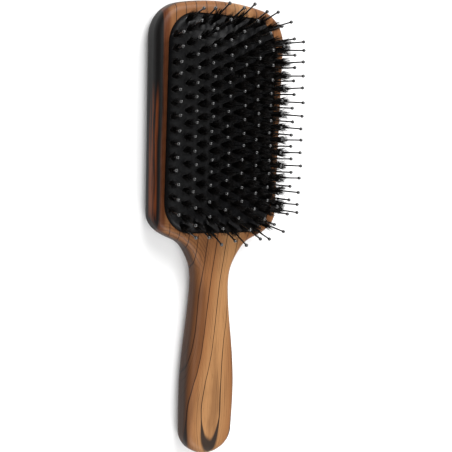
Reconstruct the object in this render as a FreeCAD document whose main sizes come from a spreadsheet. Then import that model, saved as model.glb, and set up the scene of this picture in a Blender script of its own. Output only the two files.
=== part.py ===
"""Paddle hairbrush: a wooden head and handle, an air cushion of rubber and rows of bristle tufts.

The brush lies on its back with its tufts up. X runs across the head, +Y from the handle to the
top of the head and +Z up. The origin is the middle of the whole brush's footprint, on the back.
Sizes are in millimetres.
"""
import FreeCAD, Part
import math
import os
import Sketcher
from FreeCAD import Placement, Rotation, Vector

DIMENSIONS = [
    ("overall_length", 250.0, "end of the handle to the top of the head"),
    ("head_top_width", 82.6, "head across its top corners"),
    ("head_base_width", 79.6, "head just above the shoulders"),
    ("head_bow", 2.2, "rise of the top edge between its corners"),
    ("head_corner", 19.0, "radius of the two top corners"),
    ("head_base_level", 10.0, "where the straight sides end, from the middle of the brush"),
    ("neck_width", 22.0, "narrowest part of the neck"),
    ("grip_width", 31.5, "widest part of the handle"),
    ("grip_taper", 0.3, "how much narrower each side is where the handle's end begins"),
    ("handle_tip", 17.5, "radius of the handle's end"),
    ("handle_corner", 12.5, "radius between the handle's sides and its end"),
    ("wood_depth", 16.1, "back to rim, and to the handle's front"),
    ("neck_dip", 1.8, "how far the front dips at the neck"),
    ("end_dip", 1.8, "how far it dips at the handle's end"),
    ("back_rounding", 7.5, "edge of the back"),
    ("front_rounding", 4.5, "edge of the rim and of the handle's front"),
    ("cushion_centre", 58.5, "middle of the cushion, from the middle of the brush"),
    ("pocket_width", 69.0, "pocket in the head, across"),
    ("pocket_length", 118.0, "pocket in the head, along"),
    ("pocket_corner", 17.0, "radius of the pocket's corners"),
    ("pocket_depth", 7.0, "rim to the pocket's floor"),
    ("undercut_reach", 1.5, "how far the groove for the cushion's foot goes under the rim"),
    ("undercut_height", 1.8, "height of that groove"),
    ("cushion_gap", 0.25, "room between the cushion's skirt and the wood"),
    ("sheet_thickness", 2.0, "rubber of the dome, measured upright"),
    ("skirt_thickness", 1.0, "rubber of the skirt"),
    ("foot_height", 1.4, "foot of the skirt, held in the groove"),
    ("foot_reach", 1.3, "how far the foot stands out from the skirt"),
    ("dome_edge", 0.5, "cushion's edge above the rim"),
    ("dome_rise", 6.8, "cushion's middle above its edge"),
    ("vent_diameter", 1.4, "hole that lets the cushion breathe"),
    ("vent_from_centre", 45.6, "that hole, towards the handle"),
    ("row_pitch", 7.05, "from one lengthwise row to the next"),
    ("tuft_pitch", 7.02, "from tuft to tuft along a row"),
    ("anchor_flange_radius", 1.7, "flange of the anchor, under the sheet"),
    ("anchor_flange_height", 1.0, "thickness of that flange"),
    ("anchor_grip", 2.3, "top of the sheet down to the flange"),
    ("anchor_radius", 1.45, "shank of the anchor"),
    ("anchor_collar", 0.35, "how far the shank stands out of the sheet"),
    ("cup_radius", 1.15, "cup in the anchor that holds the bristles"),
    ("cup_depth", 1.6, "top of the sheet down to the cup's floor"),
    ("fit_gap", 0.06, "clearance between a tuft's pieces"),
    ("pin_radius", 0.48, "shaft of the pin"),
    ("pin_length", 20.3, "top of the sheet to the middle of the ball"),
    ("pin_root", 2.8, "top of the sheet down to the foot of the pin"),
    ("ball_radius", 0.95, "ball at the end of the pin"),
    ("bristle_length", 12.0, "top of the sheet to the ends of the bristles"),
    ("bristle_spread", 2.4, "radius of the bundle at its ends"),
]

DOME_POWER_ACROSS = 2
DOME_POWER_ALONG = 8
ROWS = 10
UP = Vector(0, 0, 1)

doc = FreeCAD.newDocument("hairbrush")
sheet = doc.addObject("Spreadsheet::Sheet", "Sizes")
for line, (alias, value, meaning) in enumerate(DIMENSIONS, 1):
    sheet.set(f"A{line}", meaning)
    sheet.set(f"B{line}", str(value))
    sheet.setAlias(f"B{line}", alias)
doc.recompute()


def size(alias):
    """A driving dimension, read from the sheet."""
    return float(sheet.get(alias))


def bind(item, **expressions):
    """Tie properties of item to the sheet."""
    for name, expression in expressions.items():
        item.setExpression(name, expression)


# ---------------------------------------------------------------- sketches

def origin_plane(body, role):
    return next(f for f in body.Origin.OriginFeatures if f.Role == role)


def new_sketch(body, name, role="XY_Plane", level=None):
    """A sketch on one of the body's own planes, lifted to level if one is given."""
    sketch = body.newObject("Sketcher::SketchObject", name)
    sketch.AttachmentSupport = [(origin_plane(body, role), "")]
    sketch.MapMode = "FlatFace"
    if level:
        sketch.setExpression("AttachmentOffset.Base.z", level)
    return sketch


def corner_arc(centre_x, centre_y, radius, start_degrees):
    """A quarter turn that starts at start_degrees."""
    circle = Part.Circle(Vector(centre_x, centre_y, 0), UP, radius)
    start = math.radians(start_degrees)
    return Part.ArcOfCircle(circle, start, start + math.pi / 2)


def rounded_rectangle(sketch, width, length, corner):
    """A rounded rectangle around the cushion's centre. Its three sizes are sheet expressions."""
    # drawn near its place, and then pulled to size by the constraints
    half_w, half_l, middle, turn = 30.0, 55.0, size("cushion_centre"), 10.0
    x, low, high = half_w - turn, middle - half_l + turn, middle + half_l - turn
    outline = [
        corner_arc(x, high, turn, 0),
        Part.LineSegment(Vector(x, high + turn, 0), Vector(-x, high + turn, 0)),
        corner_arc(-x, high, turn, 90),
        Part.LineSegment(Vector(-half_w, high, 0), Vector(-half_w, low, 0)),
        corner_arc(-x, low, turn, 180),
        Part.LineSegment(Vector(-x, low - turn, 0), Vector(x, low - turn, 0)),
        corner_arc(x, low, turn, 270),
        Part.LineSegment(Vector(half_w, low, 0), Vector(half_w, high, 0)),
    ]
    sketch.addGeometry(outline, False)
    for n in range(8):
        sketch.addConstraint(Sketcher.Constraint("Tangent", n, 2, (n + 1) % 8, 1))
    for n in (1, 5):
        sketch.addConstraint(Sketcher.Constraint("Horizontal", n))
    for n in (3, 7):
        sketch.addConstraint(Sketcher.Constraint("Vertical", n))
    for n in (2, 4, 6):
        sketch.addConstraint(Sketcher.Constraint("Equal", 0, n))
    sizes = [
        (Sketcher.Constraint("Radius", 0, turn), corner),
        (Sketcher.Constraint("DistanceX", -1, 1, 7, 1, half_w), f"({width}) / 2"),
        (Sketcher.Constraint("DistanceX", 3, 1, 7, 1, 2 * half_w), width),
        (Sketcher.Constraint("DistanceY", -1, 1, 1, 1, high + turn),
         f"Sizes.cushion_centre + ({length}) / 2"),
        (Sketcher.Constraint("DistanceY", 5, 1, 1, 1, 2 * half_l), length),
    ]
    for constraint, expression in sizes:
        number = sketch.addConstraint(constraint)
        sketch.setExpression(f"Constraints[{number}]", expression)


def pad(body, name, sketch, length):
    feature = body.newObject("PartDesign::Pad", name)
    feature.Profile = sketch
    bind(feature, Length=length)
    return feature


def pocket(body, name, sketch, length, reversed_side=False):
    feature = body.newObject("PartDesign::Pocket", name)
    feature.Profile = sketch
    feature.Reversed = reversed_side
    bind(feature, Length=length)
    return feature


# ---------------------------------------------------------------- wooden body

def top_corner_centre():
    """Middle of the right-hand top corner's arc."""
    corner = size("head_corner")
    top = size("overall_length") / 2 - size("head_bow")
    return Vector(size("head_top_width") / 2 - corner, top - corner, 0)


def top_edge():
    """The bowed top edge, from its right-hand end to its left-hand end, and where it starts."""
    centre, corner = top_corner_centre(), size("head_corner")
    crown = Vector(0, size("overall_length") / 2, 0)
    # a circle through the crown that meets both corner arcs in line
    rise = crown.y - centre.y
    bow_radius = (centre.x ** 2 + rise ** 2 - corner ** 2) / (2 * (rise - corner))
    bow_centre = crown - Vector(0, bow_radius, 0)
    start = centre + (centre - bow_centre).normalize() * corner
    end = Vector(-start.x, start.y, 0)
    return Part.Arc(start, crown, end), start


def side_touch():
    """Angle at which the head's straight side runs into the right-hand top corner's arc."""
    to_base = shoulder_point() - top_corner_centre()
    return math.atan2(to_base.y, to_base.x) + math.acos(size("head_corner") / to_base.Length)


def shoulder_point():
    """Lower end of the head's straight right-hand side."""
    return Vector(size("head_base_width") / 2, size("head_base_level"), 0)


def flank():
    """The right-hand edge of the shoulder and handle, from the head's side to the handle's end."""
    neck, grip = size("neck_width") / 2, size("grip_width") / 2
    start, touch = shoulder_point(), side_touch()
    end = handle_corner_centre() + Vector(size("handle_corner"), 0, 0)
    down_the_side = Vector(math.sin(touch), -math.cos(touch), 0)
    poles = [
        start,
        start + down_the_side * 6.3,
        start + Vector(-10.7, -13.0, 0),
        start + Vector(-20.0, -15.0, 0),
        start + Vector(-26.8, -26.0, 0),
        Vector(neck - 0.7, start.y - 34.0, 0),
        Vector(neck + 0.8, start.y - 55.0, 0),
        Vector(neck + 3.0, start.y - 71.0, 0),
        Vector(grip + 0.6, end.y + 25.0, 0),
        end + Vector(0, 8, 0),
        end,
    ]
    curve = Part.BSplineCurve()
    curve.buildFromPoles(poles, False, 3)
    return curve


def handle_corner_centre():
    """Middle of the right-hand corner arc at the handle's end, which runs on into the tip's arc."""
    tip, corner = size("handle_tip"), size("handle_corner")
    x = size("grip_width") / 2 - size("grip_taper") - corner
    below_tip_centre = math.sqrt((tip - corner) ** 2 - x ** 2)
    return Vector(x, tip - size("overall_length") / 2 - below_tip_centre, 0)


def handle_end():
    """The two corner arcs and the tip's arc, from right to left."""
    centre, corner, tip = handle_corner_centre(), size("handle_corner"), size("handle_tip")
    tip_centre = Vector(0, tip - size("overall_length") / 2, 0)
    turn = math.atan2(centre.y - tip_centre.y, centre.x)
    left_centre = Vector(-centre.x, centre.y, 0)
    return [
        Part.ArcOfCircle(Part.Circle(left_centre, UP, corner), math.pi, -turn + math.pi),
        Part.ArcOfCircle(Part.Circle(tip_centre, UP, tip), math.pi - turn, 2 * math.pi + turn),
        Part.ArcOfCircle(Part.Circle(centre, UP, corner), turn, 0),
    ]


def mirrored(curve):
    """The same curve on the other side of the Y axis, run the other way."""
    other = Part.BSplineCurve()
    poles = [Vector(-p.x, p.y, p.z) for p in reversed(curve.getPoles())]
    last = curve.getKnots()[-1]
    knots = [last - k for k in reversed(curve.getKnots())]
    other.buildFromPolesMultsKnots(
        poles, list(reversed(curve.getMultiplicities())), knots, False, curve.Degree
    )
    return other


def wood_outline(sketch):
    """Plan of the head and handle, anticlockwise from the right-hand top corner."""
    edge, start = top_edge()
    centre, corner = top_corner_centre(), size("head_corner")
    level = math.atan2(start.y - centre.y, start.x - centre.x)
    touch = side_touch()
    right = Part.ArcOfCircle(Part.Circle(centre, UP, corner), touch, level)
    left_centre = Vector(-centre.x, centre.y, 0)
    left = Part.ArcOfCircle(
        Part.Circle(left_centre, UP, corner), math.pi - level, math.pi - touch
    )
    handle = flank()
    left_shoulder = Vector(-shoulder_point().x, shoulder_point().y, 0)
    outline = [
        right,
        edge,
        left,
        Part.LineSegment(left.EndPoint, left_shoulder),
        mirrored(handle),
        *handle_end(),
        handle,
        Part.LineSegment(shoulder_point(), right.StartPoint),
    ]
    sketch.addGeometry(outline, False)


def front_profile(sketch):
    """The side view's waste above the handle: the front face dips at the neck and at its end."""
    depth, end = size("wood_depth"), -size("overall_length") / 2
    poles = [
        Vector(6, depth, 0),
        Vector(-8, depth, 0),
        Vector(-22, depth - size("neck_dip"), 0),
        Vector(-44, depth - size("neck_dip"), 0),
        Vector(end + 50, depth - 0.3, 0),
        Vector(end + 18, depth - 0.3, 0),
        Vector(end, depth - size("end_dip"), 0),
    ]
    curve = Part.BSplineCurve()
    curve.buildFromPoles(poles, False, 3)
    waste = [Vector(end - 5, poles[-1].y, 0), Vector(end - 5, depth + 5, 0)]
    waste.append(Vector(poles[0].x, depth + 5, 0))
    corners = [poles[-1], *waste, poles[0]]
    lines = [Part.LineSegment(p, q) for p, q in zip(corners, corners[1:])]
    sketch.addGeometry([curve, *lines], False)


def edges_at(feature, wanted):
    """Names of the feature's edges for which wanted(edge) holds."""
    return [f"Edge{n}" for n, e in enumerate(feature.Shape.Edges, 1) if wanted(e)]


def fillet(body, name, base, edges, radius):
    feature = body.newObject("PartDesign::Fillet", name)
    feature.Base = (base, edges)
    bind(feature, Radius=radius)
    return feature


def make_wood():
    """Head and handle in one piece of wood, with the pocket that the cushion sits in."""
    body = doc.addObject("PartDesign::Body", "wooden_body")
    body.Label = "wooden_body"
    plan = new_sketch(body, "WoodPlan")
    wood_outline(plan)
    blank = pad(body, "WoodBlank", plan, "Sizes.wood_depth")
    side_view = new_sketch(body, "FrontProfile", "YZ_Plane")
    front_profile(side_view)
    faced = pocket(body, "FrontFacing", side_view, "Sizes.head_top_width")
    faced.Midplane = True
    doc.recompute()
    back = edges_at(faced, lambda e: e.BoundBox.ZMax < 0.01)
    softened = fillet(body, "BackRounding", faced, back, "Sizes.back_rounding")
    doc.recompute()
    lowest_front = size("wood_depth") - size("neck_dip") - 0.5
    front = edges_at(
        softened, lambda e: e.BoundBox.ZMin > lowest_front and e.BoundBox.YLength > 0.5
    )
    rounded = fillet(body, "FrontRounding", softened, front, "Sizes.front_rounding")
    doc.recompute()
    mouth = new_sketch(body, "PocketPlan", level="Sizes.wood_depth")
    rounded_rectangle(mouth, "Sizes.pocket_width", "Sizes.pocket_length", "Sizes.pocket_corner")
    cut = pocket(body, "CushionPocket", mouth, "Sizes.pocket_depth")
    groove = new_sketch(body, "UndercutPlan", level="Sizes.wood_depth - Sizes.pocket_depth")
    rounded_rectangle(
        groove,
        "Sizes.pocket_width + 2 * Sizes.undercut_reach",
        "Sizes.pocket_length + 2 * Sizes.undercut_reach",
        "Sizes.pocket_corner + Sizes.undercut_reach",
    )
    undercut = pocket(body, "Undercut", groove, "Sizes.undercut_height", reversed_side=True)
    doc.recompute()
    for before, after in ((blank, faced), (rounded, cut), (cut, undercut)):
        if after.Shape.Volume > before.Shape.Volume - 1:
            raise RuntimeError(f"{after.Name} removed no wood")
    return body


# ---------------------------------------------------------------- cushion

def dome_height(x, y):
    """Top of the cushion above the back, at x and y from the cushion's middle."""
    half_w = size("pocket_width") / 2 - size("cushion_gap")
    half_l = size("pocket_length") / 2 - size("cushion_gap")
    across = 1 - abs(x / half_w) ** DOME_POWER_ACROSS
    along = 1 - abs(y / half_l) ** DOME_POWER_ALONG
    return size("wood_depth") + size("dome_edge") + size("dome_rise") * across * along


def dome_normal(x, y):
    """Direction that a tuft stands in at x and y from the cushion's middle."""
    step = 0.01
    slope_x = (dome_height(x + step, y) - dome_height(x - step, y)) / (2 * step)
    slope_y = (dome_height(x, y + step) - dome_height(x, y - step)) / (2 * step)
    return Vector(-slope_x, -slope_y, 1).normalize()


def make_dome_body(name):
    """Everything under the dome's surface, down to the back."""
    half_w, half_l = size("pocket_width") / 2 + 1, size("pocket_length") / 2 + 1
    columns, lines = 13, 25
    grid = []
    for i in range(columns):
        x = half_w * (2 * i / (columns - 1) - 1)
        ys = [half_l * (2 * j / (lines - 1) - 1) for j in range(lines)]
        grid.append([Vector(x, y, dome_height(x, y)) for y in ys])
    surface = Part.BSplineSurface()
    surface.interpolate(grid)
    solid = surface.toShape().extrude(Vector(0, 0, -size("wood_depth")))
    if solid.Volume < 0:
        solid.reverse()
    feature = doc.addObject("Part::Feature", name)
    feature.Shape = solid
    feature.Placement = Placement(Vector(0, size("cushion_centre"), 0), Rotation())
    return feature


def make_block(name, inset, bottom, height):
    """A rounded block inset from the pocket's wall, standing on the level named bottom."""
    body = doc.addObject("PartDesign::Body", name)
    plan = new_sketch(body, name + "Plan", level=bottom)
    rounded_rectangle(
        plan,
        f"Sizes.pocket_width - 2 * ({inset})",
        f"Sizes.pocket_length - 2 * ({inset})",
        f"Sizes.pocket_corner - ({inset})",
    )
    pad(body, name + "Pad", plan, height)
    return body


def combine(kind, name, **parts):
    feature = doc.addObject(f"Part::{kind}", name)
    for role, part in parts.items():
        setattr(feature, role, part)
    return feature


def make_cushion(holes):
    """The rubber cushion: a domed sheet with a skirt, whose foot is held in the wood's groove."""
    floor = "Sizes.wood_depth - Sizes.pocket_depth + Sizes.cushion_gap"
    wall = "Sizes.cushion_gap + Sizes.skirt_thickness"
    outside = make_block("SkirtOutside", "Sizes.cushion_gap", floor, "Sizes.wood_depth")
    foot = make_block("SkirtFoot", "Sizes.cushion_gap - Sizes.foot_reach", floor, "Sizes.foot_height")
    inside = make_block("AirSpace", wall, floor, "Sizes.wood_depth")
    dome = make_dome_body("DomeOutside")
    lower_dome = make_dome_body("DomeInside")
    lower_dome.Placement.Base.z = -size("sheet_thickness")
    crowned = combine("Common", "CrownedBlock", Base=outside, Tool=dome)
    footed = combine("Fuse", "FootedBlock", Base=crowned, Tool=foot)
    air = combine("Common", "CrownedAir", Base=inside, Tool=lower_dome)
    shell = combine("Cut", "CushionShell", Base=footed, Tool=air)
    vent = doc.addObject("Part::Cylinder", "Vent")
    vent.Placement.Base = Vector(0, size("cushion_centre") - size("vent_from_centre"), 0)
    bind(vent, Radius="Sizes.vent_diameter / 2", Height="2 * Sizes.wood_depth")
    vent.Placement.Base.z = size("wood_depth")
    pierced = combine("Cut", "PiercedShell", Base=shell, Tool=holes)
    cushion = combine("Cut", "cushion_pad", Base=pierced, Tool=vent)
    cushion.Label = "cushion_pad"
    return cushion


# ---------------------------------------------------------------- tufts

def cylinder(name, radius, bottom, top):
    """An upright cylinder between two levels, all of them sheet expressions."""
    feature = doc.addObject("Part::Cylinder", name)
    bind(feature, Radius=radius, Height=f"({top}) - ({bottom})")
    feature.setExpression("Placement.Base.z", bottom)
    return feature


def make_anchor():
    """A flanged nylon anchor, with a cup for the bristles and a socket for the pin."""
    flange_top = "-Sizes.anchor_grip"
    flange = cylinder(
        "AnchorFlange", "Sizes.anchor_flange_radius",
        f"{flange_top} - Sizes.anchor_flange_height", flange_top,
    )
    shank = cylinder(
        "AnchorShank", "Sizes.anchor_radius",
        f"{flange_top} - Sizes.anchor_flange_height / 2", "Sizes.anchor_collar",
    )
    cup = cylinder("AnchorCup", "Sizes.cup_radius", "-Sizes.cup_depth", "Sizes.anchor_collar + 1")
    socket = cylinder(
        "AnchorSocket", "Sizes.pin_radius + Sizes.fit_gap",
        "-Sizes.pin_root - Sizes.fit_gap", "0",
    )
    solid = combine("Fuse", "AnchorSolid", Base=flange, Tool=shank)
    cupped = combine("Cut", "AnchorCupped", Base=solid, Tool=cup)
    return combine("Cut", "Anchor", Base=cupped, Tool=socket)


def make_pin():
    """A nylon pin with a ball at its end."""
    shaft = cylinder("PinShaft", "Sizes.pin_radius", "-Sizes.pin_root", "Sizes.pin_length")
    ball = doc.addObject("Part::Sphere", "PinBall")
    bind(ball, Radius="Sizes.ball_radius")
    ball.setExpression("Placement.Base.z", "Sizes.pin_length")
    return combine("Fuse", "Pin", Base=shaft, Tool=ball)


def make_bundle():
    """The bristles around a pin: gathered in the anchor's cup and spreading towards their ends."""
    gathered = cylinder(
        "BundleRoot", "Sizes.cup_radius - Sizes.fit_gap",
        "-Sizes.cup_depth + Sizes.fit_gap", "Sizes.anchor_collar",
    )
    spread = doc.addObject("Part::Cone", "BundleSpread")
    bind(
        spread,
        Radius1="Sizes.cup_radius - Sizes.fit_gap",
        Radius2="Sizes.bristle_spread",
        Height="Sizes.bristle_length - Sizes.anchor_collar",
    )
    spread.setExpression("Placement.Base.z", "Sizes.anchor_collar")
    around = cylinder(
        "BundleBore", "Sizes.pin_radius + Sizes.fit_gap",
        "-Sizes.cup_depth", "Sizes.bristle_length + 1",
    )
    whole = combine("Fuse", "BundleWhole", Base=gathered, Tool=spread)
    return combine("Cut", "Bundle", Base=whole, Tool=around)


def make_hole():
    """The hole in the sheet that an anchor's shank stands in."""
    return cylinder(
        "SheetHole", "Sizes.anchor_radius + Sizes.fit_gap", "-2 * Sizes.anchor_grip", "2"
    )


def row_x(row):
    """Distance of a row, counted from 0, from the middle of the cushion."""
    return (row - (ROWS - 1) / 2) * size("row_pitch")


def row_levels(row):
    """Places of a row's tufts along the cushion. Every other row is shifted by half a pitch."""
    pitch = size("tuft_pitch")
    outermost = row in (0, ROWS - 1)
    if row % 2 == 0:
        pairs = 7 if outermost else 8
        half = [(n + 0.5) * pitch for n in range(pairs)]
        return sorted([-y for y in half] + half)
    pairs = 6 if outermost else 7
    # these rows end with one more tuft, moved in to stay clear of the cushion's skirt
    last = (pairs + (0.5 if outermost else 0.7)) * pitch
    half = [n * pitch for n in range(1, pairs + 1)] + [last]
    return sorted([-y for y in half] + [0.0] + half)


def tuft_placements(row):
    """Where each tuft of a row stands on the dome, with its axis along the dome's normal."""
    x = row_x(row)
    places = []
    for y in row_levels(row):
        base = Vector(x, y + size("cushion_centre"), dome_height(x, y))
        places.append(Placement(base, Rotation(UP, dome_normal(x, y))))
    return places


def make_copies(name, pattern, placements):
    """One object that holds a separate copy of pattern's solid at each placement."""
    copies = []
    for place in placements:
        copy = pattern.Shape.copy()
        copy.Placement = place.multiply(copy.Placement)
        copies.append(copy)
    feature = doc.addObject("Part::Feature", name)
    feature.Shape = Part.makeCompound(copies)
    feature.Placement = Placement()
    feature.Label = name
    return feature


def make_tufts():
    """The anchors, pins and bristle bundles of every row, and the holes for them."""
    patterns = {
        "tuft_anchors": make_anchor(),
        "ball_pins": make_pin(),
        "boar_bristles": make_bundle(),
    }
    hole = make_hole()
    doc.recompute()
    pieces, everywhere = [], []
    for row in range(ROWS):
        placements = tuft_placements(row)
        everywhere += placements
        for name, pattern in patterns.items():
            pieces.append(make_copies(f"row_{row + 1:02d}_{name}", pattern, placements))
    return pieces, make_copies("SheetHoles", hole, everywhere)


# ---------------------------------------------------------------- assembly

def check_document(pieces):
    """Stop if any object failed or any piece has no sound solid."""
    for item in doc.Objects:
        if {"Invalid", "Error"} & set(item.State):
            raise RuntimeError(f"{item.Name} failed: {item.State}")
    for piece in pieces:
        if piece.Shape.isNull() or not piece.Shape.isValid() or not piece.Shape.Solids:
            raise RuntimeError(f"{piece.Label} is not a sound solid")


def write(pieces):
    os.makedirs("parts", exist_ok=True)
    for piece in pieces:
        piece.Shape.exportStep(f"parts/{piece.Label}.step")
        print(piece.Label, len(piece.Shape.Solids), round(piece.Shape.Volume, 1))


wood = make_wood()
tuft_pieces, sheet_holes = make_tufts()
cushion = make_cushion(sheet_holes)
doc.recompute()
all_pieces = [wood, cushion, *tuft_pieces]
check_document(all_pieces)
write(all_pieces)
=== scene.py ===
"""Looks of the paddle hairbrush: veined wood, the rubber air cushion, ball pins and boar bristles.

Everything is placed from the CAD frame, in metres. MM turns the sizes below into metres.
"""

import math
import random

import bpy
import numpy as np
from mathutils import Matrix, Vector


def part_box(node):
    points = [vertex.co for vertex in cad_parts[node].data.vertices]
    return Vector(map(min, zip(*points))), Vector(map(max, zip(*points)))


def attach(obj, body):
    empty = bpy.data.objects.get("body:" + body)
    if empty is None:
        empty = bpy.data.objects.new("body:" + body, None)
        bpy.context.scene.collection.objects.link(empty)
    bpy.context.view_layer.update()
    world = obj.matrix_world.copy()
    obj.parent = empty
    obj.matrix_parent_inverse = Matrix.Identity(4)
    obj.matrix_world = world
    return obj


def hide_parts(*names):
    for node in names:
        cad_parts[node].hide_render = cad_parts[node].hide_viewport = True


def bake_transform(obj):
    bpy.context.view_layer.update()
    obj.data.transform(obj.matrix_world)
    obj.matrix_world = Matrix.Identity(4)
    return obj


MM = 0.001
ROWS = 10                       # lengthwise rows of tufts
SEED = 7

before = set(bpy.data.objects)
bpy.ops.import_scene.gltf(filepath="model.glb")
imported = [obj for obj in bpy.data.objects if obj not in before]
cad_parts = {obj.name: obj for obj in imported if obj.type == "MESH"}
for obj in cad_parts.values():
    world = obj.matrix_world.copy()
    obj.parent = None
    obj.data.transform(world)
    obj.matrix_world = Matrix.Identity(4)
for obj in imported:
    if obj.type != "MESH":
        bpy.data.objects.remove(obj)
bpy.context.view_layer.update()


# ---------------------------------------------------------------- node trees

def new_material(name):
    """A material with its tree and its Principled shader."""
    material = bpy.data.materials.new(name)
    material.use_nodes = True
    tree = material.node_tree
    return material, tree, tree.nodes["Principled BSDF"]


def add(tree, kind, inputs=None, **settings):
    """A node with its settings, and its inputs given as sockets to link or as values."""
    node = tree.nodes.new(kind)
    for name, value in settings.items():
        setattr(node, name, value)
    for name, value in (inputs or {}).items():
        plug(tree, node.inputs[name], value)
    return node


def plug(tree, socket, value):
    """Links another node's output to the socket, or sets a plain value on it."""
    if isinstance(value, bpy.types.NodeSocket):
        tree.links.new(value, socket)
    else:
        socket.default_value = value


def calc(tree, operation, a, b=0.0, c=0.0, clamp=False):
    """The output of one Math node."""
    node = add(tree, "ShaderNodeMath", operation=operation, use_clamp=clamp)
    for socket, value in zip(node.inputs, (a, b, c)):
        plug(tree, socket, value)
    return node.outputs[0]


def product(tree, *factors):
    """All the factors multiplied together."""
    result = factors[0]
    for factor in factors[1:]:
        result = calc(tree, "MULTIPLY", result, factor)
    return result


def hypotenuse(tree, a, b):
    """Length of the long side of a right-angled triangle."""
    return calc(tree, "SQRT", calc(tree, "MULTIPLY_ADD", a, a, calc(tree, "MULTIPLY", b, b)))


def smooth_step(tree, value, low, high):
    """A smooth change from 0 at low to 1 at high. It falls where low is above high."""
    node = add(
        tree, "ShaderNodeMapRange", {"Value": value, "From Min": low, "From Max": high},
        interpolation_type="SMOOTHSTEP",
    )
    return node.outputs["Result"]


def between(tree, value, low, high):
    """A value from 0 to 1 spread out from low to high."""
    node = add(tree, "ShaderNodeMapRange", {"Value": value, "To Min": low, "To Max": high})
    return node.outputs["Result"]


def noise(tree, vector, scale, detail=2.0, roughness=0.5):
    """Soft noise about 0.5."""
    node = add(
        tree, "ShaderNodeTexNoise",
        {"Vector": vector, "Scale": scale, "Detail": detail, "Roughness": roughness},
    )
    return node.outputs["Fac"]


def ramp(tree, fac, stops):
    """A colour ramp. stops holds (place, colour)."""
    node = add(tree, "ShaderNodeValToRGB", {"Fac": fac})
    elements = node.color_ramp.elements
    while len(elements) < len(stops):
        elements.new(0.5)
    for element, (place, colour) in zip(elements, stops):
        element.position = place
        element.color = (*colour, 1)
    return node.outputs["Color"]


def mix(tree, fac, a, b):
    """Colour a turning into colour b as fac rises."""
    node = add(tree, "ShaderNodeMix", data_type="RGBA")
    colour_inputs = [s for s in node.inputs if s.type == "RGBA"]
    plug(tree, node.inputs["Factor"], fac)
    for socket, value in zip(colour_inputs, (a, b)):
        plug(tree, socket, (*value, 1) if isinstance(value, tuple) else value)
    return next(s for s in node.outputs if s.type == "RGBA")


def stain(tree, base, colour, *masks):
    """The base with the colour over it, as strong as the masks' product."""
    return mix(tree, product(tree, *masks), base, colour)


def bump(tree, shader, height, strength, distance):
    """Surface relief from a height between 0 and 1."""
    node = add(
        tree, "ShaderNodeBump", {"Height": height, "Strength": strength, "Distance": distance}
    )
    tree.links.new(node.outputs["Normal"], shader.inputs["Normal"])


def millimetres(tree, stretch=(1, 1, 1)):
    """Place in the row frame in millimetres, divided by stretch."""
    place = add(tree, "ShaderNodeTexCoord").outputs["Object"]
    scale = tuple(1 / MM / s for s in stretch)
    return add(tree, "ShaderNodeMapping", {"Vector": place, "Scale": scale}).outputs["Vector"]


# ---------------------------------------------------------------- wood

# Colours are linear RGB. The figure's places and sizes are in millimetres in the row frame.
GOLD = (0.275, 0.138, 0.056)
TAN = (0.185, 0.077, 0.028)
BROWN = (0.070, 0.025, 0.009)
RED_BROWN = (0.060, 0.0125, 0.0025)
WARM_STREAK = (0.120, 0.028, 0.006)
DARK_VEIN = (0.014, 0.006, 0.004)
# Ash grey for the veins at the handle's end, also used as painted shade on the head's -X flank.
ASH = (0.014, 0.011, 0.010)
EBONY = (0.0025, 0.002, 0.002)

FRONT = 16.1                    # level of the rim and of the handle's front
ARCH_LEVEL = -97.0              # veins close in arches below this y
ARCH_SQUEEZE = 0.24             # share of the way down that counts as distance from the heart
DEPTH_SHARE = 0.45              # share of the depth below the front that counts so
LEAN_START = -60.0              # veins lean to +X above this y
LEAN_LENGTH = 60.0
LEAN_REACH = 6.6
STRONG_VEIN_SPACING = 9.8
FIRST_STRONG_VEIN = 6.2         # its distance from the heart
STRONG_VEIN_HALF_WIDTH = 0.42
STRONG_VEIN_SWELLING = 1.1      # added to that at the handle's end
FINE_VEIN_SPACING = 1.55
SHOULDER_HEART = (-38.0, -32.0)  # the shoulder's veins curve round this place
SHOULDER_WAVES = 3.6            # radians of vein pattern in a millimetre
RIM_SIDE = 34.5                 # distance of the rim's -X side from the middle
STREAK_MIDDLE = 9.5             # distance of the warm streak from there, round the edge


def swing(tree, stretch, reach, detail=2.0):
    """Noise between -reach and reach, drawn out by stretch."""
    waves = noise(tree, millimetres(tree, stretch), 1.0, detail)
    return calc(tree, "MULTIPLY", calc(tree, "SUBTRACT", waves, 0.5), 2.0 * reach)


def grain_distance(tree, x, y, z):
    """Distance from the heart of the figure, in mm.

    Lines of equal distance run along the handle and close in arches at its end. Towards the head
    they lean over to +X and draw together.
    """
    upward = smooth_step(tree, y, -100.0, -55.0)
    past_start = calc(tree, "SUBTRACT", y, LEAN_START)
    lean = product(tree, calc(tree, "DIVIDE", past_start, LEAN_LENGTH, clamp=True), LEAN_REACH)
    heart = calc(tree, "ADD", calc(tree, "MULTIPLY_ADD", upward, 3.9, -0.3), lean)
    squeeze = calc(tree, "MULTIPLY_ADD", upward, 0.6, 1.0)
    across = product(tree, calc(tree, "SUBTRACT", x, heart), squeeze)
    below = calc(tree, "MINIMUM", calc(tree, "SUBTRACT", y, ARCH_LEVEL), 0.0)
    distance = hypotenuse(tree, across, product(tree, below, ARCH_SQUEEZE))
    depth = calc(tree, "SUBTRACT", FRONT, z)
    distance = calc(tree, "MULTIPLY_ADD", depth, DEPTH_SHARE, distance)
    distance = calc(tree, "ADD", distance, swing(tree, (16, 60, 16), 2.2))
    return calc(tree, "ADD", distance, swing(tree, (4, 26, 4), 0.35))


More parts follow.
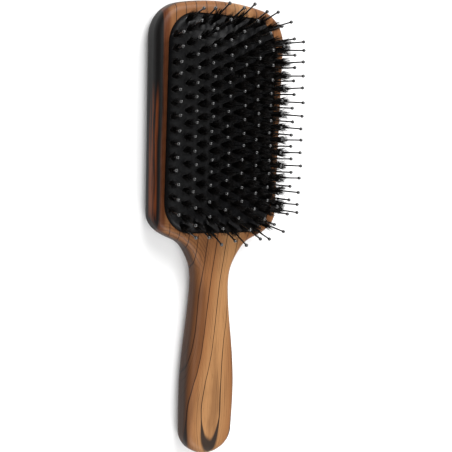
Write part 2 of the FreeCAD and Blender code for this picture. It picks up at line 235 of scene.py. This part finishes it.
def strong_veins(tree, distance, y):
    """Few dark veins, which thicken towards the handle's end."""
    past_first = calc(tree, "SUBTRACT", distance, FIRST_STRONG_VEIN)
    turns = calc(tree, "DIVIDE", past_first, STRONG_VEIN_SPACING)
    off = calc(tree, "SUBTRACT", turns, calc(tree, "ROUND", turns))
    off = product(tree, calc(tree, "ABSOLUTE", off), STRONG_VEIN_SPACING)
    near_end = smooth_step(tree, y, -103.0, -119.0)
    half = calc(tree, "MULTIPLY_ADD", near_end, STRONG_VEIN_SWELLING, STRONG_VEIN_HALF_WIDTH)
    half = calc(tree, "ADD", half, swing(tree, (7, 30, 7), 0.2))
    return smooth_step(tree, calc(tree, "DIVIDE", off, half), 1.25, 0.45)


def fine_veins(tree, distance):
    """Many thin veins, each of its own strength."""
    turns = calc(tree, "DIVIDE", distance, FINE_VEIN_SPACING)
    number = calc(tree, "ROUND", turns)
    off = calc(tree, "ABSOLUTE", calc(tree, "SUBTRACT", turns, number))
    own = add(tree, "ShaderNodeTexWhiteNoise", {"W": number}, noise_dimensions="1D")
    strength = calc(tree, "POWER", own.outputs["Value"], 1.6)
    line = smooth_step(tree, off, 0.14, 0.02)
    patchy = smooth_step(tree, noise(tree, millimetres(tree, (7, 40, 7)), 1.0), 0.38, 0.62)
    return product(tree, line, strength, patchy)


def shoulder_veins(tree, x, y):
    """Close-set curved veins on the head's lower -X shoulder, over the neck."""
    spread = hypotenuse(
        tree,
        calc(tree, "SUBTRACT", x, SHOULDER_HEART[0]),
        calc(tree, "SUBTRACT", y, SHOULDER_HEART[1]),
    )
    spread = calc(tree, "ADD", spread, swing(tree, (9, 9, 9), 1.6))
    wave = calc(tree, "SINE", product(tree, spread, SHOULDER_WAVES))
    line = smooth_step(tree, wave, 0.25, 0.95)
    beside = smooth_step(tree, x, -2.0, -9.0)
    above_neck = smooth_step(tree, y, -26.0, -12.0)
    below_head = smooth_step(tree, y, 12.0, 0.0)
    return product(tree, line, beside, above_neck, below_head)


def brown_tones_and_flank_shade(tree, base, distance, x, y, z):
    """Brown clouds and fibres, darker wood on the handle's -X half, and painted shade on the -X
    flanks: brown all along, ash grey on the head and shoulder.
    """
    clouds = noise(tree, millimetres(tree, (10, 55, 10)), 1.0, 3.0)
    base = stain(tree, base, BROWN, smooth_step(tree, clouds, 0.5, 0.7), 0.45)
    far_out = smooth_step(tree, distance, 15.0, 17.0)
    beside_heart = smooth_step(tree, x, -3.0, -7.0)
    on_handle = smooth_step(tree, y, -20.0, -36.0)
    base = stain(tree, base, BROWN, far_out, beside_heart, on_handle, 0.7)
    # Painted shade: brown over the -X flanks below the front, where the side turns away from the
    # light.
    painted_flank_shade = product(tree, smooth_step(tree, x, -2.0, -8.0), smooth_step(tree, z, 14.5, 10.5))
    base = stain(tree, base, BROWN, painted_flank_shade, 0.75)
    # Painted shade: ash grey over the -X flanks of the head and shoulder.
    painted_head_flank_shade = product(tree, smooth_step(tree, x, -9.0, -18.0), smooth_step(tree, z, 15.0, 12.0))
    base = stain(tree, base, ASH, painted_head_flank_shade, 0.8)
    fibres = noise(tree, millimetres(tree, (0.7, 20, 0.7)), 1.0, 3.0, 0.6)
    return stain(tree, base, BROWN, smooth_step(tree, fibres, 0.48, 0.75), 0.3)


def ebony_side(tree, base, x, y, z):
    """The near-black wood down the head's -X side, with one warm streak in it."""
    wander = swing(tree, (14, 60, 14), 1.6, 3.0)
    outward = calc(tree, "SUBTRACT", wander, x)
    down = calc(tree, "SUBTRACT", FRONT, z)
    on_head = smooth_step(tree, calc(tree, "MULTIPLY_ADD", wander, 3.0, y), -6.0, 6.0)
    rim = smooth_step(tree, outward, 32.5, 35.0)
    base = stain(tree, base, RED_BROWN, rim, on_head, 0.8)
    dark = smooth_step(tree, calc(tree, "MULTIPLY_ADD", down, 0.25, outward), 36.6, 38.0)
    around_edge = calc(tree, "ADD", calc(tree, "SUBTRACT", outward, RIM_SIDE), down)
    off_streak = calc(tree, "ABSOLUTE", calc(tree, "SUBTRACT", around_edge, STREAK_MIDDLE))
    streak = smooth_step(tree, off_streak, 4.6, 2.6)
    below_top = smooth_step(tree, y, 82.0, 62.0)
    above_shoulder = smooth_step(tree, y, 2.0, 16.0)
    threads = noise(tree, millimetres(tree, (2.4, 70, 2.4)), 1.0, 3.0)
    thread = smooth_step(tree, threads, 0.58, 0.44)
    warm = stain(tree, EBONY, WARM_STREAK, streak, below_top, above_shoulder, thread)
    return stain(tree, base, warm, dark, on_head)


def wood_colour(tree):
    """Golden to red-brown wood with dark veins, ebony down one side of the head, and painted shade on
    the -X flanks.
    """
    split = add(tree, "ShaderNodeSeparateXYZ", {"Vector": millimetres(tree)})
    x, y, z = (split.outputs[axis] for axis in "XYZ")
    distance = grain_distance(tree, x, y, z)
    base = stain(tree, GOLD, TAN, smooth_step(tree, distance, 4.0, 17.0))
    base = brown_tones_and_flank_shade(tree, base, distance, x, y, z)
    base = stain(tree, base, DARK_VEIN, fine_veins(tree, distance), 0.85)
    base = stain(tree, base, DARK_VEIN, shoulder_veins(tree, x, y), 0.4)
    vein = stain(tree, DARK_VEIN, ASH, smooth_step(tree, y, -100.0, -116.0))
    base = stain(tree, base, vein, strong_veins(tree, distance, y), 0.95)
    return ebony_side(tree, base, x, y, z)


def wood_material():
    """Satin varnish over the veined wood and its open pores."""
    material, tree, shader = new_material("veined_wood")
    pores = noise(tree, millimetres(tree, (0.45, 6.0, 0.45)), 1.0, 2.0, 0.7)
    open_pores = smooth_step(tree, pores, 0.62, 0.8)
    colour = stain(tree, wood_colour(tree), DARK_VEIN, open_pores, 0.35)
    plug(tree, shader.inputs["Base Color"], colour)
    handled = noise(tree, millimetres(tree, (30, 30, 30)), 1.0, 3.0)
    plug(tree, shader.inputs["Roughness"], between(tree, handled, 0.42, 0.55))
    shader.inputs["Specular IOR Level"].default_value = 0.12
    shader.inputs["Coat Weight"].default_value = 0.05
    shader.inputs["Coat Roughness"].default_value = 0.22
    bump(tree, shader, pores, 0.12, 0.05 * MM)
    return material


# ---------------------------------------------------------------- blacks and the floor

BLACK = (0.003, 0.003, 0.0035)


def mottled(name, light, size, rough, bump_depth):
    """A near-black material whose shade, roughness and surface vary with a fine noise."""
    material, tree, shader = new_material(name)
    grain = noise(tree, millimetres(tree, (size, size, size)), 1.0, 3.0, 0.6)
    plug(tree, shader.inputs["Base Color"], ramp(tree, grain, [(0.3, BLACK), (0.7, light)]))
    plug(tree, shader.inputs["Roughness"], between(tree, grain, *rough))
    bump(tree, shader, grain, 0.3, bump_depth)
    return material, shader


def rubber_material():
    """The cushion's satin rubber."""
    material, shader = mottled(
        "satin_rubber", (0.006, 0.006, 0.0065), 1.6, (0.34, 0.46), 0.02 * MM
    )
    shader.inputs["Specular IOR Level"].default_value = 0.10
    return material


def anchor_material():
    """The tuft anchors' moulded nylon."""
    material, _ = mottled("moulded_nylon", (0.007, 0.007, 0.007), 0.8, (0.35, 0.5), 0.01 * MM)
    return material


def pin_material():
    """The pins' glossy nylon."""
    material, shader = mottled(
        "glossy_nylon", (0.007, 0.007, 0.007), 1.1, (0.20, 0.30), 0.006 * MM
    )
    shader.inputs["Specular IOR Level"].default_value = 0.7
    return material


def bristle_material():
    """Boar hair: black to very dark brown from hair to hair, with a dull sheen."""
    material, tree, shader = new_material("boar_hair")
    along = noise(tree, millimetres(tree, (0.5, 0.5, 4.0)), 1.0, 2.0)
    hair = ramp(tree, along, [(0.35, (0.003, 0.003, 0.003)), (0.7, (0.009, 0.007, 0.006))])
    plug(tree, shader.inputs["Base Color"], hair)
    plug(tree, shader.inputs["Roughness"], between(tree, along, 0.32, 0.5))
    shader.inputs["Specular IOR Level"].default_value = 0.12
    return material


def floor_material():
    """Pale matt paper. Its faint glow lightens the brush's shadow."""
    material, tree, shader = new_material("pale_floor")
    cloud = noise(tree, millimetres(tree, (120, 120, 120)), 1.0, 2.0)
    shade = ramp(tree, cloud, [(0.3, (0.60, 0.60, 0.60)), (0.7, (0.64, 0.64, 0.64))])
    plug(tree, shader.inputs["Base Color"], shade)
    shader.inputs["Roughness"].default_value = 0.9
    plug(tree, shader.inputs["Emission Color"], shade)
    shader.inputs["Emission Strength"].default_value = 0.25
    return material


# ---------------------------------------------------------------- meshes

def make_piece(name, vertices, faces, material):
    """A smooth mesh object with one material."""
    mesh = bpy.data.meshes.new(name)
    mesh.from_pydata(vertices, [], faces)
    mesh.materials.append(material)
    mesh.polygons.foreach_set("use_smooth", [True] * len(mesh.polygons))
    mesh.update()
    piece = bpy.data.objects.new(name, mesh)
    bpy.context.scene.collection.objects.link(piece)
    return piece


def solids_of(node):
    """The points of each separate solid in a CAD node, as arrays."""
    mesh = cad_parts[node].data
    points = np.array([v.co for v in mesh.vertices])
    corner = {}
    welded = [corner.setdefault(tuple(np.round(p, 7)), n) for n, p in enumerate(points)]
    parent = list(range(len(points)))

    def root(n):
        while parent[n] != n:
            parent[n] = parent[parent[n]]
            n = parent[n]
        return n

    for edge in mesh.edges:
        a, b = (root(welded[v]) for v in edge.vertices)
        parent[a] = b
    groups = {}
    for n, keep in enumerate(welded):
        groups.setdefault(root(keep), []).append(n)
    return [points[g] for g in groups.values()]


def tufts_of(row):
    """Foot, direction and length of each pin in a row, from the CAD pins."""
    tufts = []
    for points in solids_of(f"row_{row}_ball_pins"):
        middle = points.mean(0)
        axis = np.linalg.svd(points - middle, full_matrices=False)[2][0]
        axis = axis if axis[2] > 0 else -axis
        along = (points - middle) @ axis
        tufts.append((Vector(middle + axis * along.min()), Vector(axis), np.ptp(along)))
    return sorted(tufts, key=lambda t: t[0].y)


def frame_about(axis):
    """Two directions square to axis."""
    side = axis.cross(Vector((0, 1, 0))).normalized()
    return side, axis.cross(side)


class Strands:
    """Gathers thin round tubes into one mesh."""

    def __init__(self):
        self.vertices = []
        self.faces = []

    def tube(self, centres, radii, sides):
        """A tube along centres, closed by a cap at both ends."""
        first = len(self.vertices)
        for n, (centre, radius) in enumerate(zip(centres, radii)):
            ahead = centres[min(n + 1, len(centres) - 1)] - centres[max(n - 1, 0)]
            u, v = frame_about(ahead.normalized())
            for k in range(sides):
                turn = 2 * math.pi * k / sides
                rim = centre + (u * math.cos(turn) + v * math.sin(turn)) * radius
                self.vertices.append(rim)
        for n in range(len(centres) - 1):
            low, high = first + n * sides, first + (n + 1) * sides
            for k in range(sides):
                j = (k + 1) % sides
                self.faces.append((low + k, low + j, high + j, high + k))
        last = first + (len(centres) - 1) * sides
        self.faces.append(tuple(range(first + sides - 1, first - 1, -1)))
        self.faces.append(tuple(range(last, last + sides)))


# ---------------------------------------------------------------- pins and bristles

SHEET_ABOVE_FOOT = 2.8 * MM
CUP_BACK = 1.2 * MM             # the hairs start this far under the sheet's top
PIN_RADIUS = 0.48 * MM
BALL_RADIUS = 0.95 * MM
PIN_BEND = 0.8 * MM             # the furthest that a pin's tip is bent to either side
PIN_SIDES = 14
BALL_LOOPS = 10
BALL_START = -62.0              # degrees from the ball's widest loop
BALL_STEP = 16.8
BRISTLE_RADIUS = 0.12 * MM
BRISTLES_IN_TUFT = 100
BRISTLE_REACH = 13.2 * MM
BRISTLE_STEPS = 5
GATHERED = 0.95 * MM            # the bundle's radius at its root
SPREAD = 2.85 * MM              # and at its end


def pin_profile(length):
    """Distances along a pin and its radius there: a tapering shaft, a neck and a ball."""
    ball_middle = length - BALL_RADIUS
    profile = [
        (0.0, PIN_RADIUS * 1.1),
        (length * 0.3, PIN_RADIUS),
        (length * 0.6, PIN_RADIUS * 0.92),
        (ball_middle - BALL_RADIUS * 1.7, PIN_RADIUS * 0.86),
    ]
    for step in range(BALL_LOOPS):
        turn = math.radians(BALL_START + step * BALL_STEP)
        radius = max(BALL_RADIUS * math.cos(turn), 1e-5)
        profile.append((ball_middle + BALL_RADIUS * math.sin(turn), radius))
    return profile


def make_pins(row, material, draw):
    """One row's pins, each bent a little to its own side."""
    strands = Strands()
    for foot, axis, length in tufts_of(row):
        u, v = frame_about(axis)
        bend = u * draw.uniform(-PIN_BEND, PIN_BEND) + v * draw.uniform(-PIN_BEND, PIN_BEND)
        profile = pin_profile(length)
        centres = [foot + axis * s + bend * (s / length) ** 2 for s, _ in profile]
        strands.tube(centres, [r for _, r in profile], PIN_SIDES)
    return make_piece(f"pins_{row}", strands.vertices, strands.faces, material)


def bristle(root, axis, u, v, draw):
    """Centre line of one hair: gathered at the root, then spreading and curling outwards."""
    turn = draw.uniform(0, 2 * math.pi)
    share = math.sqrt(draw.uniform(0.06, 1.0))
    out = u * math.cos(turn) + v * math.sin(turn)
    curl = u * draw.gauss(0, 0.35) + v * draw.gauss(0, 0.35)
    reach = BRISTLE_REACH * draw.uniform(0.80, 1.06) * (1.0 - 0.10 * share)
    gathered = GATHERED * share
    spread = SPREAD * share * draw.uniform(0.8, 1.25)
    centres = []
    for n in range(BRISTLE_STEPS + 1):
        s = n / BRISTLE_STEPS
        away = gathered + (spread - gathered) * s ** 1.35
        centres.append(root + axis * (reach * s) + out * away + curl * (MM * s * s))
    return centres


def make_bristles(row, material, draw):
    """One row's bundles of hairs, each hair thinner towards its end."""
    strands = Strands()
    for foot, axis, _ in tufts_of(row):
        u, v = frame_about(axis)
        root = foot + axis * (SHEET_ABOVE_FOOT - CUP_BACK)
        for _ in range(BRISTLES_IN_TUFT):
            centres = bristle(root, axis, u, v, draw)
            thick = BRISTLE_RADIUS * draw.uniform(0.75, 1.2)
            radii = [
                thick * (1 - 0.55 * (n / BRISTLE_STEPS) ** 2) for n in range(BRISTLE_STEPS + 1)
            ]
            strands.tube(centres, radii, 3)
    return make_piece(f"bristles_{row}", strands.vertices, strands.faces, material)


# ---------------------------------------------------------------- cushion

CUSHION_CORNER = 16.75 * MM
FOOT_REACH = 1.3 * MM           # the foot stands out this far past the sheet's edge
DOME_EDGE = 0.5 * MM            # the dome starts this far above the rim
RING_RADIUS = 1.9 * MM          # the raised ring round each tuft
RING_WIDTH = 0.8 * MM
RING_HEIGHT = 0.28 * MM
ROLL_WIDTH = 0.045              # outer share of the sheet that rolls down at its edge
ROLL_DROP = 1.3 * MM
SKIRT_DEPTHS = (2.2 * MM, 4.5 * MM)
OUTLINE_POINTS = 480
SHEET_LOOPS = 64


def rounded_outline(half_w, half_l, corner, count):
    """Points evenly spaced round a rounded rectangle, from the middle of its +X side."""
    straight_l, straight_w = half_l - corner, half_w - corner
    quarter = math.pi * corner / 2
    runs = [straight_l, quarter, 2 * straight_w, quarter, 2 * straight_l, quarter,
            2 * straight_w, quarter, straight_l]
    centres = [(straight_w, straight_l), (-straight_w, straight_l),
               (-straight_w, -straight_l), (straight_w, -straight_l)]
    starts = [(half_w, 0), (straight_w, half_l), (-half_w, straight_l),
              (-straight_w, -half_l), (half_w, -straight_l)]
    headings = [(0, 1), (-1, 0), (0, -1), (1, 0), (0, 1)]
    points = []
    for n in range(count):
        left = sum(runs) * n / count
        run = 0
        while left > runs[run] and run < len(runs) - 1:
            left -= runs[run]
            run += 1
        if run % 2:
            turn = (run // 2) * math.pi / 2 + left / corner
            cx, cy = centres[run // 2]
            points.append((cx + corner * math.cos(turn), cy + corner * math.sin(turn)))
        else:
            (sx, sy), (hx, hy) = starts[run // 2], headings[run // 2]
            points.append((sx + hx * left, sy + hy * left))
    return points


def dome(x, y, half_w, half_l):
    """How much of the dome's rise is left at x and y from its middle."""
    return max(0.0, 1 - (x / half_w) ** 2) * max(0.0, 1 - (y / half_l) ** 8)


def tuft_ring(x, y, tufts):
    """Height of the raised ring round the nearest tuft."""
    near = np.sqrt(((tufts - (x, y)) ** 2).sum(1).min())
    return RING_HEIGHT * math.exp(-((near - RING_RADIUS) / RING_WIDTH) ** 2)


def edge_drop(share):
    """How far the sheet has rolled down at this share of the way from its middle."""
    rolled = max(0.0, (share - (1 - ROLL_WIDTH)) / ROLL_WIDTH)
    return ROLL_DROP * (1 - math.sqrt(max(0.0, 1 - rolled ** 2)))


def capped_bands(count, layers):
    """Faces between closed loops of count points each, with a cap at both ends."""
    faces = [tuple(range(count))]
    for layer in range(layers - 1):
        a, b = layer * count, (layer + 1) * count
        for k in range(count):
            j = (k + 1) % count
            faces.append((a + k, b + k, b + j, a + j))
    last = (layers - 1) * count
    faces.append(tuple(range(last + count - 1, last - 1, -1)))
    return faces


def make_cushion(material, feet):
    """The domed rubber sheet with a rolled edge, and a raised ring round each tuft."""
    low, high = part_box("cushion_pad")
    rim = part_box("wooden_body")[1].z
    half_w, half_l = (high.x - low.x) / 2 - FOOT_REACH, (high.y - low.y) / 2 - FOOT_REACH
    middle = Vector(((low.x + high.x) / 2, (low.y + high.y) / 2, 0))
    rise = high.z - rim - DOME_EDGE
    outline = rounded_outline(half_w, half_l, CUSHION_CORNER, OUTLINE_POINTS)
    tufts = np.array([(f.x - middle.x, f.y - middle.y) for f in feet])
    vertices = []
    for loop in range(SHEET_LOOPS + 1):
        share = (loop + 0.6) / (SHEET_LOOPS + 0.6)
        for ox, oy in outline:
            x, y = ox * share, oy * share
            z = rim + DOME_EDGE + rise * dome(x, y, half_w, half_l)
            z += tuft_ring(x, y, tufts) - edge_drop(share)
            vertices.append((x + middle.x, y + middle.y, z))
    levels = [rim - depth for depth in SKIRT_DEPTHS] + [low.z]
    for level in levels:
        vertices += [(ox + middle.x, oy + middle.y, level) for ox, oy in outline]
    faces = capped_bands(OUTLINE_POINTS, len(vertices) // OUTLINE_POINTS)
    return make_piece("cushion_sheet", vertices, faces, material)


# ---------------------------------------------------------------- the brush

def dress_brush():
    """Gives every CAD node its material or the piece that replaces it."""
    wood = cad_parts["wooden_body"]
    wood.data.materials.clear()
    wood.data.materials.append(wood_material())
    nylon, glossy, hair = anchor_material(), pin_material(), bristle_material()
    feet = []
    for number in range(1, ROWS + 1):
        row = f"{number:02d}"
        draw = random.Random(SEED + number)
        feet += [foot for foot, _, _ in tufts_of(row)]
        pins = make_pins(row, glossy, draw)
        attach(pins, f"row_{row}")
        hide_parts(f"row_{row}_ball_pins")
        bristles = make_bristles(row, hair, draw)
        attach(bristles, f"row_{row}")
        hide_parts(f"row_{row}_boar_bristles")
        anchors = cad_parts[f"row_{row}_tuft_anchors"]
        anchors.data.materials.clear()
        anchors.data.materials.append(nylon)
    cushion = make_cushion(rubber_material(), feet)
    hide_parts("cushion_pad")
    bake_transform(cushion)


# ---------------------------------------------------------------- studio

VIEW_TARGET = Vector((10.44, 2.42, 8.0)) * MM
VIEW_DISTANCE = 0.600
VIEW_SIDE = math.radians(33.26)
VIEW_TIP = math.radians(5.04)
VIEW_ROLL = math.radians(1.99)
LENS = 85.46
FLOOR_HALF = 3.0                # half of the floor's side
FLOOR_LEVEL = -0.05 * MM        # just clear of the back, so the two faces don't coincide


def make_camera():
    """A long lens from above the head's -X side, turned a little about its axis."""
    back = Vector((
        -math.sin(VIEW_SIDE) * math.cos(VIEW_TIP),
        math.sin(VIEW_TIP),
        math.cos(VIEW_SIDE) * math.cos(VIEW_TIP),
    ))
    right = Vector((0, 1, 0)).cross(back).normalized()
    up = back.cross(right)
    level = Matrix((right, up, back)).transposed().to_4x4()
    camera = bpy.data.objects.new("camera", bpy.data.cameras.new("camera"))
    camera.matrix_world = (
        Matrix.Translation(VIEW_TARGET + back * VIEW_DISTANCE)
        @ level @ Matrix.Rotation(VIEW_ROLL, 4, "Z")
    )
    camera.data.lens = LENS
    camera.data.clip_start = 0.01
    bpy.context.scene.collection.objects.link(camera)
    bpy.context.scene.camera = camera


def softbox(name, place, width, height, power):
    """A rectangular lamp that faces the brush."""
    light = bpy.data.lights.new(name, "AREA")
    light.shape = "RECTANGLE"
    light.size, light.size_y = width, height
    light.energy = power
    lamp = bpy.data.objects.new(name, light)
    lamp.location = place
    lamp.rotation_euler = (Vector(place) * -1).to_track_quat("-Z", "Y").to_euler()
    bpy.context.scene.collection.objects.link(lamp)


def make_studio():
    """A pale floor, two softboxes and a weak top light under an even white sky."""
    corners = [(-FLOOR_HALF, -FLOOR_HALF, 0), (FLOOR_HALF, -FLOOR_HALF, 0),
               (FLOOR_HALF, FLOOR_HALF, 0), (-FLOOR_HALF, FLOOR_HALF, 0)]
    floor = make_piece("floor", corners, [(0, 1, 2, 3)], floor_material())
    floor.location.z = FLOOR_LEVEL
    softbox("key_above_head", (0.10, 0.75, 0.75), 0.9, 0.6, 20.0)
    softbox("fill_past_handle", (-0.05, -0.80, 0.60), 0.9, 0.5, 11.0)
    softbox("top", (-0.15, 0.0, 1.0), 0.5, 0.6, 3.0)
    world = bpy.data.worlds.new("studio")
    world.use_nodes = True
    sky = world.node_tree.nodes["Background"]
    sky.inputs["Color"].default_value = (1, 1, 1, 1)
    sky.inputs["Strength"].default_value = 0.2
    bpy.context.scene.world = world
    bpy.context.scene.view_settings.view_transform = "Standard"


dress_brush()
make_studio()
make_camera()
